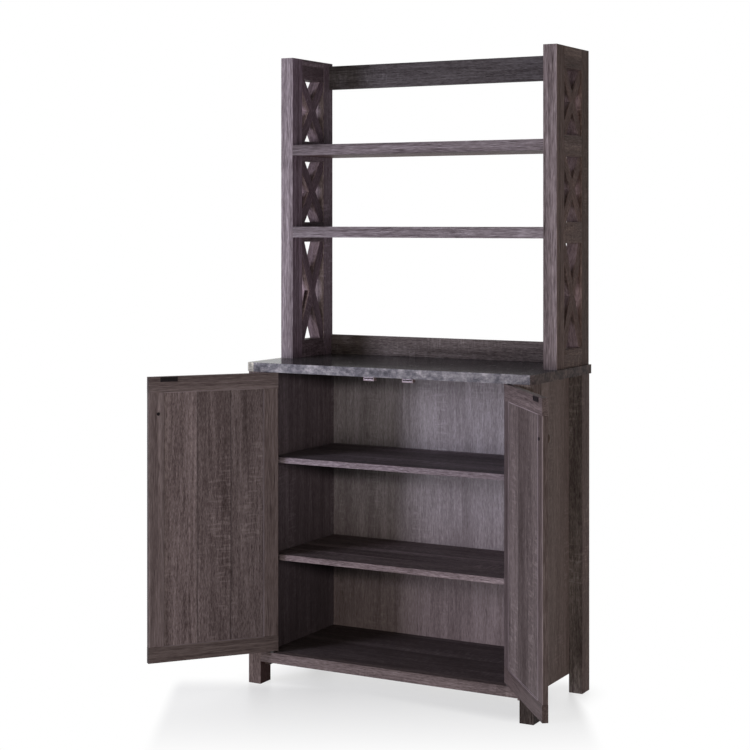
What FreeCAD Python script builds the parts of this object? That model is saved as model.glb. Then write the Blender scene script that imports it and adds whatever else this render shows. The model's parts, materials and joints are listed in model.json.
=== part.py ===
import FreeCAD, Part
import os
import re
import Sketcher

# Microwave cabinet: a two-door base on four square legs, a stone-look counter, and an open hutch
# whose side frames carry three crossed lattices each.
# X runs to the viewer's right, Y to the back, Z up. The origin is on the floor, in the middle of the
# four legs. The doors are drawn wide open, as in the photograph.

# Driving sizes in millimetres, angles in degrees.
SIZES = {
    # Base: legs, side panels, bottom, back
    "width": 800,
    "depth": 356,
    "base_height": 806,
    "leg_width": 36,
    "leg_depth": 48,
    "side_panel_thickness": 15,
    "side_panel_floor_gap": 47,
    "front_rail_floor_gap": 58,
    "front_rail_height": 26,
    "front_rail_depth": 22,
    "front_rail_tenon_length": 15,
    "front_rail_shoulder": 5,
    "bottom_panel_thickness": 15,
    "bottom_panel_housing": 6,
    "back_panel_thickness": 4,
    "back_panel_setback": 2,
    "back_panel_groove_depth": 6,
    # Shelves in the base and their pins
    "base_shelf_thickness": 15,
    "base_shelf_setback": 30,
    "base_shelf_side_gap": 0.8,
    "base_shelf_rear_gap": 2,
    "lower_base_shelf_rise": 318,
    "upper_base_shelf_rise": 569,
    "shelf_pin_radius": 2.5,
    "shelf_pin_bore_depth": 9,
    "shelf_pin_reach": 9,
    "shelf_pin_inset": 50,
    # Counter
    "counter_thickness": 23,
    "counter_front_overhang": 8,
    "counter_side_overhang": 3,
    "counter_rear_overhang": 6,
    "counter_clip_length": 8,
    "counter_clip_depth": 8,
    # Hutch: posts, side rails, shelves, back rails
    "hutch_height": 799,
    "hutch_depth": 210,
    "hutch_side_inset": 4,
    "hutch_post_width": 36,
    "hutch_post_depth": 48,
    "hutch_top_rail_height": 54,
    "hutch_middle_rail_height": 53,
    "hutch_bottom_rail_height": 46,
    "hutch_tenon_length": 15,
    "hutch_tenon_thickness": 12,
    "hutch_tenon_shoulder": 8,
    "hutch_shelf_thickness": 28,
    "hutch_upper_shelf_share": 0.6746,
    "hutch_lower_shelf_share": 0.403,
    "top_back_rail_height": 64,
    "top_back_rail_thickness": 18,
    "top_back_rail_shoulder": 4,
    "top_back_rail_drop": 8,
    "low_back_rail_height": 53,
    "low_back_rail_thickness": 6,
    "low_back_rail_shoulder": 1.5,
    "fixing_hole_radius": 3,
    "fixing_hole_depth": 8,
    "fixing_hole_rise": 18,
    "fixing_hole_from_rear": 26,
    # Crossed lattices in the hutch sides
    "cross_arm_width": 29,
    "cross_thickness": 32,
    # Doors
    "door_thickness": 14,
    "door_member_width": 40,
    "door_panel_thickness": 6,
    "door_panel_play": 0.1,
    "door_panel_inset": 2,
    "door_groove_depth": 8,
    "door_groove_stop": 8,
    "door_centre_gap": 3,
    "door_bottom_gap": 4,
    "door_top_gap": 2,
    "door_open_angle": 128.5,
    "door_side_gap": 3.5,
    "door_stop_clearance": 2.5,
    # Pivot pins and their bushes
    "pivot_pin_radius": 2.5,
    "pivot_pin_door_length": 18,
    "pivot_pin_bush_length": 8,
    "pivot_play": 0.05,
    "bush_sleeve_radius": 4.5,
    "bush_sleeve_length": 10,
    "bush_flange_radius": 6.5,
    "bush_flange_clearance": 0.3,
    # Knobs and their screws
    "knob_from_edge": 25,
    "knob_from_top": 93,
    "knob_neck_radius": 5,
    "knob_neck_length": 7,
    "knob_head_radius": 10,
    "knob_head_half_length": 4.5,
    "knob_screw_radius": 2,
    "knob_screw_grip": 7,
    "knob_screw_head_radius": 4,
    "knob_screw_head_height": 2,
    "screw_play": 0.1,
    # Magnetic catches under the counter and the strike plates on the doors
    "strike_from_edge": 53,
    "strike_length": 45,
    "strike_height": 12,
    "strike_thickness": 1.2,
    "strike_from_top": 1,
    "strike_screw_spacing": 34,
    "strike_screw_radius": 1.5,
    "strike_screw_length": 10,
    "strike_screw_head_radius": 2.6,
    "strike_screw_head_height": 0.6,
    "catch_gap": 0.8,
    "catch_length": 30,
    "catch_depth": 14,
    "catch_height": 12,
    "catch_wall": 2.5,
    "catch_pole_thickness": 2,
    "catch_pole_proud": 0.5,
    "catch_pocket_depth": 11,
    # Dowels and hutch bolts
    "dowel_radius": 4,
    "dowel_play": 0.05,
    "dowel_wall": 2,
    "shelf_dowel_half_length": 16,
    "shelf_dowel_inset": 25,
    "panel_dowel_depth": 10,
    "leg_dowel_depth": 20,
    "panel_dowel_low_rise": 200,
    "panel_dowel_high_drop": 156,
    "counter_dowel_depth": 14,
    "hutch_dowel_depth": 25,
    "hutch_bolt_radius": 3,
    "hutch_bolt_grip": 40,
    "hutch_bolt_head_radius": 6,
    "hutch_bolt_head_height": 4,
    # How far a cutting shape runs past the face that it cuts
    "overrun": 1,
}

# Places worked out from the sizes above.
PLACES = {
    "front": "-depth / 2",
    "rear": "depth / 2",
    "leg_inner": "width / 2 - leg_width",
    "leg_middle": "width / 2 - leg_width / 2",
    "wall_inner": "leg_inner - side_panel_thickness",
    "rail_top": "front_rail_floor_gap + front_rail_height",
    "rail_back": "front + front_rail_depth",
    "back_face": "rear - back_panel_setback - back_panel_thickness",
    "bottom_underside": "rail_top - bottom_panel_thickness",
    "counter_top": "base_height + counter_thickness",
    "counter_front": "front - counter_front_overhang",
    "counter_rear": "rear + counter_rear_overhang",
    "counter_half": "width / 2 + counter_side_overhang",
    "hutch_outer": "width / 2 - hutch_side_inset",
    "hutch_inner": "hutch_outer - hutch_post_width",
    "hutch_middle": "hutch_outer - hutch_post_width / 2",
    "hutch_front": "counter_rear - hutch_depth",
    "hutch_top": "counter_top + hutch_height",
    "bay_front": "hutch_front + hutch_post_depth",
    "bay_rear": "counter_rear - hutch_post_depth",
    "bay_depth": "hutch_depth - 2 * hutch_post_depth",
    "upper_shelf_z": "counter_top + hutch_upper_shelf_share * hutch_height",
    "lower_shelf_z": "counter_top + hutch_lower_shelf_share * hutch_height",
    "rail_lap": "(hutch_middle_rail_height - hutch_shelf_thickness) / 2",
    "upper_rail_z": "upper_shelf_z - rail_lap",
    "lower_rail_z": "lower_shelf_z - rail_lap",
    "top_rail_z": "hutch_top - hutch_top_rail_height",
    "top_back_rail_z": "hutch_top - top_back_rail_drop - top_back_rail_height",
    "low_back_rail_z": "counter_top",
    "rear_dowel_y": "bay_rear + hutch_tenon_length + dowel_wall + dowel_radius",
    "panel_dowel_low_z": "panel_dowel_low_rise",
    "panel_dowel_high_z": "base_height - panel_dowel_high_drop",
    "pivot_from_wall": "door_face * tan(door_open_angle / 2) + door_stop_clearance",
    "pivot_from_edge": "pivot_from_wall - door_side_gap",
    "pivot_x": "wall_inner - pivot_from_wall",
    "pivot_y": "front + door_thickness / 2",
    "door_low": "rail_top + door_bottom_gap",
    "door_high": "base_height - door_top_gap",
    "door_free": "pivot_x - door_centre_gap / 2",
    "door_width": "door_free + pivot_from_edge",
    "door_face": "door_thickness / 2",
    "door_groove": "door_panel_thickness + 2 * door_panel_play",
    "door_panel_y": "door_face - door_panel_inset - door_panel_thickness",
    "stile_low": "door_low + door_member_width",
    "stile_length": "door_high - door_low - 2 * door_member_width",
    "knob_x": "door_free - knob_from_edge",
    "knob_z": "door_high - knob_from_top",
    "strike_x": "door_free - strike_from_edge",
    "strike_z": "door_high - strike_from_top - strike_height / 2",
    "catch_x": "door_centre_gap / 2 + strike_from_edge",
    "catch_front": "front + door_thickness + strike_thickness + catch_gap",
}

SIDES = (("left", -1), ("right", 1))

doc = FreeCAD.newDocument("microwave_cabinet")
sheet = doc.addObject("Spreadsheet::Sheet", "dims")
for row, (size_name, size_value) in enumerate(SIZES.items(), start=1):
    sheet.set("A%d" % row, size_name)
    sheet.set("B%d" % row, str(size_value))
    sheet.setAlias("B%d" % row, size_name)
doc.recompute()

nodes = {}
bores = {}


def formula(text):
    """Turn a formula in the words of SIZES and PLACES into an expression on the sheet's cells."""

    def spell(match):
        word = match.group(0)
        if word in PLACES:
            return "(" + formula(PLACES[word]) + ")"
        if word in SIZES:
            return "dims." + word
        return word

    return re.sub(r"[a-z][a-z_]*", spell, text)


def bind(item, **formulas):
    """Bind properties to formulas; a double underscore in a name stands for a dot."""
    for path, text in formulas.items():
        item.setExpression(path.replace("__", "."), formula(text))


def place(item, corner):
    bind(item, Placement__Base__x=corner[0], Placement__Base__y=corner[1], Placement__Base__z=corner[2])


def mirror_x(sign, start, length):
    """The low X of a span that starts at a distance from the middle, on either side."""
    return start if sign > 0 else "-(%s) - (%s)" % (start, length)


def signed(sign, distance):
    return "%d * (%s)" % (sign, distance)


def box(name, corner, size):
    item = doc.addObject("Part::Box", name)
    bind(item, Length=size[0], Width=size[1], Height=size[2])
    place(item, corner)
    return item


# A turn keeps its axis only if its angle isn't zero when it is set, so it starts at one degree.
START_ANGLE = 1

AXES = {
    "x": FreeCAD.Rotation(FreeCAD.Vector(0, 1, 0), 90),
    "y": FreeCAD.Rotation(FreeCAD.Vector(1, 0, 0), -90),
    "z": FreeCAD.Rotation(),
}


def rod(name, axis, start, radius, length):
    """A cylinder from its start point along +X, +Y or +Z."""
    item = doc.addObject("Part::Cylinder", name)
    item.Placement.Rotation = AXES[axis]
    bind(item, Radius=radius, Height=length)
    place(item, start)
    return item


def joined(name, items):
    whole = doc.addObject("Part::MultiFuse", name)
    whole.Shapes = items
    whole.Refine = True
    return whole


def cut(name, base, tools):
    tool = tools[0]
    if len(tools) > 1:
        tool = doc.addObject("Part::Compound", name + "_tools")
        tool.Links = tools
    result = doc.addObject("Part::Cut", name)
    result.Base = base
    result.Tool = tool
    return result


def common(name, first, second):
    result = doc.addObject("Part::Common", name)
    result.Base = first
    result.Tool = second
    return result


def group(name, items):
    result = doc.addObject("Part::Compound", name)
    result.Links = items
    return result


def drill(tool, *names):
    """Note a shape that is cut from the named sub-parts when they are finished."""
    for name in names:
        bores.setdefault(name, []).append(tool)


def finish(name, body):
    """Cut the noted bores from a sub-part and give it its label."""
    if name in bores:
        body = cut(name + "_bored", body, bores.pop(name))
    body.Label = name
    nodes[name] = body
    return body


# Dowels, bolts and bushes are set out first, because the boards are drilled for them.
dowels = []


def dowel(name, axis, start, length, *boards):
    dowels.append(rod(name, axis, start, "dowel_radius", length))
    drill(rod(name + "_bore", axis, start, "dowel_radius + dowel_play", length), *boards)


def set_out_dowels():
    for side, sign in SIDES:
        for level, rise in (("upper", "upper_shelf_z"), ("lower", "lower_shelf_z")):
            length = "2 * shelf_dowel_half_length"
            x = mirror_x(sign, "hutch_inner - shelf_dowel_half_length", length)
            z = rise + " + hutch_shelf_thickness / 2"
            for spot, y in (
                ("front", "bay_front + shelf_dowel_inset"),
                ("rear", "bay_rear - shelf_dowel_inset"),
            ):
                dowel(
                    "%s_%s_%s_shelf_dowel" % (side, level, spot), "x", (x, y, z), length,
                    "hutch_%s_shelf" % level, "%s_hutch_%s_rail" % (side, level),
                )
        length = "panel_dowel_depth + leg_dowel_depth"
        x = mirror_x(sign, "leg_inner - panel_dowel_depth", length)
        for spot, y in (("front", "front + leg_depth / 2"), ("rear", "rear - leg_depth / 2")):
            for level in ("low", "high"):
                dowel(
                    "%s_%s_%s_panel_dowel" % (side, spot, level), "x",
                    (x, y, "panel_dowel_%s_z" % level), length,
                    side + "_side_panel", "%s_%s_leg" % (spot, side),
                )
        dowel(
            side + "_counter_dowel", "z",
            (signed(sign, "leg_middle"), "front + leg_depth / 2", "base_height - leg_dowel_depth"),
            "leg_dowel_depth + counter_dowel_depth", "front_%s_leg" % side, "counter_top",
        )
        dowel(
            side + "_rear_hutch_dowel", "z",
            (signed(sign, "hutch_middle"), "rear_dowel_y", "base_height - hutch_dowel_depth"),
            "2 * hutch_dowel_depth + counter_thickness",
            "rear_%s_leg" % side, "counter_top", side + "_hutch_rear_post",
        )
    finish("wood_dowels", group("wood_dowels", dowels))


def set_out_hutch_bolts():
    bolts = []
    for side, sign in SIDES:
        x = signed(sign, "hutch_middle")
        y = "hutch_front + hutch_post_depth / 2"
        length = "counter_thickness + hutch_bolt_grip"
        start = (x, y, "base_height")
        shank = rod(side + "_bolt_shank", "z", start, "hutch_bolt_radius", length)
        head_start = (x, y, "base_height - hutch_bolt_head_height")
        head = rod(side + "_bolt_head", "z", head_start, "hutch_bolt_head_radius", "hutch_bolt_head_height")
        bolts.append(joined(side + "_hutch_bolt", [shank, head]))
        bore = rod(side + "_bolt_bore", "z", start, "hutch_bolt_radius + screw_play", length)
        drill(bore, "counter_top", side + "_hutch_front_post")
    finish("hutch_bolts", group("hutch_bolts", bolts))


def pivot_bush(name, x, seat, faces_up, gap, board):
    """A flanged bush let into a board at its seat; the flange stands in the gap beside the door."""
    flange = gap + " - bush_flange_clearance"
    sleeve_low = seat + " - bush_sleeve_length" if faces_up else seat
    flange_low = seat if faces_up else "%s - (%s)" % (seat, flange)
    sleeve_start = (x, "pivot_y", sleeve_low)
    sleeve = rod(name + "_sleeve", "z", sleeve_start, "bush_sleeve_radius", "bush_sleeve_length")
    collar = rod(name + "_flange", "z", (x, "pivot_y", flange_low), "bush_flange_radius", flange)
    reach = "(bush_sleeve_length + %s + overrun)" % gap
    bore_start = (x, "pivot_y", "%s - %s" % (seat, reach))
    bore = rod(name + "_bore", "z", bore_start, "pivot_pin_radius + pivot_play", "2 * " + reach)
    drill(sleeve, board)
    return cut(name, joined(name + "_solid", [sleeve, collar]), [bore])


def set_out_pivot_bushes():
    bushes = []
    for side, sign in SIDES:
        x = signed(sign, "pivot_x")
        for level, seat, faces_up, gap, board in (
            ("low", "rail_top", True, "door_bottom_gap", "front_bottom_rail"),
            ("high", "base_height", False, "door_top_gap", "counter_top"),
        ):
            bushes.append(pivot_bush("%s_%s_bush" % (side, level), x, seat, faces_up, gap, board))
    finish("pivot_bushes", group("pivot_bushes", bushes))


def set_out_shelf_pins():
    pins = []
    for side, sign in SIDES:
        length = "shelf_pin_reach + shelf_pin_bore_depth"
        x = mirror_x(sign, "wall_inner - shelf_pin_reach", length)
        for level in ("lower", "upper"):
            z = "%s_base_shelf_rise - shelf_pin_radius" % level
            for spot, y in (
                ("front", "front + base_shelf_setback + shelf_pin_inset"),
                ("rear", "back_face - base_shelf_rear_gap - shelf_pin_inset"),
            ):
                pin = rod("%s_%s_%s_pin" % (side, level, spot), "x", (x, y, z), "shelf_pin_radius", length)
                pins.append(pin)
                drill(pin, side + "_side_panel")
    finish("shelf_pins", group("shelf_pins", pins))


# Base


def make_front_rail():
    body = box(
        "front_rail_body", ("-leg_inner", "front", "front_rail_floor_gap"),
        ("2 * leg_inner", "front_rail_depth", "front_rail_height"),
    )
    tenon = box(
        "front_rail_tenons",
        ("-leg_inner - front_rail_tenon_length", "front + front_rail_shoulder",
         "front_rail_floor_gap + front_rail_shoulder"),
        ("2 * (leg_inner + front_rail_tenon_length)", "front_rail_depth - 2 * front_rail_shoulder",
         "front_rail_height - 2 * front_rail_shoulder"),
    )
    drill(tenon, "front_left_leg", "front_right_leg")
    finish("front_bottom_rail", joined("front_bottom_rail", [body, tenon]))


def make_back_panel():
    half = "leg_inner + back_panel_groove_depth"
    panel = box(
        "back_panel", ("-(%s)" % half, "back_face", "bottom_underside"),
        ("2 * (%s)" % half, "back_panel_thickness", "base_height - bottom_underside"),
    )
    drill(panel, "rear_left_leg", "rear_right_leg")
    finish("back_panel", panel)


def make_bottom_panel():
    half = "wall_inner + bottom_panel_housing"
    panel = box(
        "bottom_panel", ("-(%s)" % half, "rail_back", "bottom_underside"),
        ("2 * (%s)" % half, "back_face - rail_back", "bottom_panel_thickness"),
    )
    drill(panel, "left_side_panel", "right_side_panel")
    finish("bottom_panel", panel)


def make_legs():
    for side, sign in SIDES:
        x = mirror_x(sign, "leg_inner", "leg_width")
        for spot, y in (("front", "front"), ("rear", "rear - leg_depth")):
            name = "%s_%s_leg" % (spot, side)
            finish(name, box(name + "_post", (x, y, "0"), ("leg_width", "leg_depth", "base_height")))


def make_side_panels():
    for side, sign in SIDES:
        x = mirror_x(sign, "wall_inner", "side_panel_thickness")
        board = box(
            side + "_panel_board", (x, "front", "side_panel_floor_gap"),
            ("side_panel_thickness", "back_face - front", "base_height - side_panel_floor_gap"),
        )
        notch = box(
            side + "_panel_notch",
            (x + " - overrun", "front - overrun", "side_panel_floor_gap - overrun"),
            ("side_panel_thickness + 2 * overrun", "front_rail_depth + overrun",
             "rail_top - side_panel_floor_gap + overrun"),
        )
        drill(notch, side + "_side_panel")
        finish(side + "_side_panel", board)


def make_base_shelves():
    half = "wall_inner - base_shelf_side_gap"
    shelf_front = "front + base_shelf_setback"
    shelf_depth = "back_face - base_shelf_rear_gap - (%s)" % shelf_front
    for level in ("lower", "upper"):
        name = level + "_base_shelf"
        finish(name, box(
            name, ("-(%s)" % half, shelf_front, name + "_rise"),
            ("2 * (%s)" % half, shelf_depth, "base_shelf_thickness"),
        ))


def origin_plane(body, role):
    return next(item for item in body.Origin.OriginFeatures if item.Role == role)


def closed_outline(sketch, points):
    """Lines through the points, each corner fixed by two formulas measured from the origin."""
    count = len(points)
    corners = [FreeCAD.Vector(x.Value, y.Value, 0) for x, y in (map(quantity, point) for point in points)]
    for index in range(count):
        sketch.addGeometry(Part.LineSegment(corners[index], corners[(index + 1) % count]), False)
    for index in range(count):
        sketch.addConstraint(Sketcher.Constraint("Coincident", index, 2, (index + 1) % count, 1))
    for index, (x, y) in enumerate(points):
        for kind, text in (("DistanceX", x), ("DistanceY", y)):
            number = sketch.addConstraint(Sketcher.Constraint(kind, -1, 1, index, 1, quantity(text).Value))
            bind(sketch, **{"Constraints[%d]" % number: text})


def quantity(text):
    """The present value of a formula, as a length."""
    return FreeCAD.Units.Quantity(float(sheet.evalExpression(formula(text))), FreeCAD.Units.Length)


def make_counter():
    body = doc.addObject("PartDesign::Body", "counter_body")
    outline = body.newObject("Sketcher::SketchObject", "counter_outline")
    outline.AttachmentSupport = [(origin_plane(body, "XY_Plane"), "")]
    outline.MapMode = "FlatFace"
    clip_x = "counter_half - counter_clip_length"
    clip_y = "counter_front + counter_clip_depth"
    closed_outline(outline, [
        ("-(%s)" % clip_x, "counter_front"),
        (clip_x, "counter_front"),
        ("counter_half", clip_y),
        ("counter_half", "counter_rear"),
        ("-counter_half", "counter_rear"),
        ("-counter_half", clip_y),
    ])
    slab = body.newObject("PartDesign::Pad", "counter_slab")
    slab.Profile = outline
    bind(slab, Length="counter_thickness")
    bind(body, Placement__Base__z="base_height")
    finish("counter_top", body)


def make_catches():
    """Magnetic catches under the counter: a moulded case, two pole plates and a magnet between them."""
    cases, poles, magnets = [], [], []
    pocket_height = "catch_height - 2 * catch_wall"
    magnet_height = "catch_height - 2 * catch_wall - 2 * catch_pole_thickness"
    inner_length = "catch_length - 2 * catch_wall"
    low = "base_height - catch_height"
    for side, sign in SIDES:
        middle = signed(sign, "catch_x")
        inner_x = "%s - (%s) / 2" % (middle, inner_length)
        case = box(
            side + "_catch_case", (middle + " - catch_length / 2", "catch_front", low),
            ("catch_length", "catch_depth", "catch_height"),
        )
        pocket = box(
            side + "_catch_pocket", (inner_x, "catch_front - overrun", low + " + catch_wall"),
            (inner_length, "catch_pocket_depth + overrun", pocket_height),
        )
        cases.append(cut(side + "_catch", case, [pocket]))
        pole_y = "catch_front - catch_pole_proud"
        pole_size = (inner_length, "catch_pocket_depth + catch_pole_proud", "catch_pole_thickness")
        for level, z in (
            ("low", low + " + catch_wall"),
            ("high", "base_height - catch_wall - catch_pole_thickness"),
        ):
            poles.append(box("%s_%s_pole" % (side, level), (inner_x, pole_y, z), pole_size))
        magnets.append(box(
            side + "_magnet", (inner_x, "catch_front", low + " + catch_wall + catch_pole_thickness"),
            (inner_length, "catch_pocket_depth", magnet_height),
        ))
    finish("catch_cases", group("catch_cases", cases))
    finish("catch_pole_plates", group("catch_pole_plates", poles))
    finish("catch_magnets", group("catch_magnets", magnets))


# Hutch

HUTCH_RAILS = (
    ("bottom", "counter_top", "hutch_bottom_rail_height"),
    ("lower", "lower_rail_z", "hutch_middle_rail_height"),
    ("upper", "upper_rail_z", "hutch_middle_rail_height"),
    ("top", "top_rail_z", "hutch_top_rail_height"),
)


def make_hutch_rails():
    tenon_x = "hutch_middle - hutch_tenon_thickness / 2"
    for side, sign in SIDES:
        posts = (side + "_hutch_front_post", side + "_hutch_rear_post")
        for level, z, height in HUTCH_RAILS:
            name = "%s_hutch_%s_rail" % (side, level)
            body = box(
                name + "_body", (mirror_x(sign, "hutch_inner", "hutch_post_width"), "bay_front", z),
                ("hutch_post_width", "bay_depth", height),
            )
            tenon = box(
                name + "_tenons",
                (mirror_x(sign, tenon_x, "hutch_tenon_thickness"), "bay_front - hutch_tenon_length",
                 z + " + hutch_tenon_shoulder"),
                ("hutch_tenon_thickness", "bay_depth + 2 * hutch_tenon_length",
                 height + " - 2 * hutch_tenon_shoulder"),
            )
            drill(tenon, *posts)
            finish(name, joined(name, [body, tenon]))


def make_back_rails():
    for rail in ("top_back_rail", "low_back_rail"):
        name = "hutch_" + rail
        z, height, thickness, shoulder = (
            "%s_%s" % (rail, word) for word in ("z", "height", "thickness", "shoulder")
        )
        face = "counter_rear - " + thickness
        body = box(
            name + "_body", ("-hutch_inner", face, z),
            ("2 * hutch_inner", thickness, height),
        )
        tenon = box(
            name + "_tenons",
            ("-hutch_inner - hutch_tenon_length", "%s + %s" % (face, shoulder), "%s + %s" % (z, shoulder)),
            ("2 * (hutch_inner + hutch_tenon_length)", "%s - 2 * %s" % (thickness, shoulder),
             "%s - 2 * %s" % (height, shoulder)),
        )
        drill(tenon, "left_hutch_rear_post", "right_hutch_rear_post")
        finish(name, joined(name, [body, tenon]))


def make_hutch_posts():
    for side, sign in SIDES:
        hole_x = mirror_x(sign, "hutch_inner - overrun", "fixing_hole_depth + overrun")
        hole = rod(
            side + "_fixing_hole", "x",
            (hole_x, "counter_rear - fixing_hole_from_rear", "counter_top + fixing_hole_rise"),
            "fixing_hole_radius", "fixing_hole_depth + overrun",
        )
        drill(hole, side + "_hutch_rear_post")
        x = mirror_x(sign, "hutch_inner", "hutch_post_width")
        size = ("hutch_post_width", "hutch_post_depth", "hutch_height")
        for spot, y in (("front", "hutch_front"), ("rear", "bay_rear")):
            name = "%s_hutch_%s_post" % (side, spot)
            finish(name, box(name + "_body", (x, y, "counter_top"), size))


def make_hutch_shelves():
    for level in ("lower", "upper"):
        name = "hutch_%s_shelf" % level
        finish(name, box(
            name + "_board", ("-hutch_inner", "hutch_front", level + "_shelf_z"),
            ("2 * hutch_inner", "hutch_depth", "hutch_shelf_thickness"),
        ))


def slanted_bar(name, x, thickness, low, height, rising):
    """A bar from corner to corner of a lattice opening, long enough to be trimmed at both ends."""
    bar = doc.addObject("Part::Box", name)
    bar.Placement.Rotation = FreeCAD.Rotation(FreeCAD.Vector(1, 0, 0), START_ANGLE)
    slope = "atan2(%s; bay_depth)" % height
    angle = slope if rising else "-" + slope
    length = "(sqrt(pow(bay_depth; 2) + pow(%s; 2)) + 2 * cross_arm_width)" % height
    along = length + " / 2"
    across = "cross_arm_width / 2"
    middle_y = "(bay_front + bay_rear) / 2"
    middle_z = "%s + (%s) / 2" % (low, height)
    bind(bar, Length=thickness, Width=length, Height="cross_arm_width", Placement__Rotation__Angle=angle)
    place(bar, (
        x,
        "%s - %s * cos(%s) + %s * sin(%s)" % (middle_y, along, angle, across, angle),
        "%s - %s * sin(%s) - %s * cos(%s)" % (middle_z, along, angle, across, angle),
    ))
    return bar


def make_crosses():
    """Two arms per lattice, halved into each other where they cross."""
    x_low = "hutch_middle - cross_thickness / 2"
    for side, sign in SIDES:
        for (below, low_z, low_height), (above, high_z, high_height) in zip(HUTCH_RAILS, HUTCH_RAILS[1:]):
            name = "%s_%s_cross" % (side, {"lower": "low", "upper": "middle", "top": "high"}[above])
            low = "%s + %s" % (low_z, low_height)
            height = "(%s - (%s))" % (high_z, low)
            x = mirror_x(sign, x_low, "cross_thickness")
            halves = (x, x + " + cross_thickness / 2")
            opening_size = ("cross_thickness", "bay_depth", height)
            arms = []
            for rising, lap_x in ((True, halves[1]), (False, halves[0])):
                way = "rising" if rising else "falling"
                arm_name = "%s_%s_arm" % (name, way)
                bar = slanted_bar(arm_name + "_bar", x, "cross_thickness", low, height, rising)
                lap = slanted_bar(arm_name + "_lap", lap_x, "cross_thickness / 2", low, height, not rising)
                opening = box(arm_name + "_opening", (x, "bay_front", low), opening_size)
                arms.append(cut(arm_name, common(arm_name + "_trimmed", bar, opening), [lap]))
            finish(name, group(name, arms))


# Doors, drawn closed about their pivot axis and then swung open


def swing(sign, item):
    """Carry a piece from the door's own frame to the open door."""
    item.Placement.Rotation = FreeCAD.Rotation(FreeCAD.Vector(0, 0, 1), START_ANGLE)
    bind(item, Placement__Rotation__Angle=signed(sign, "door_open_angle"))
    place(item, (signed(sign, "pivot_x"), "pivot_y", "0"))


def finish_on_door(sign, name, body):
    swing(sign, finish(name, body))


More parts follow.
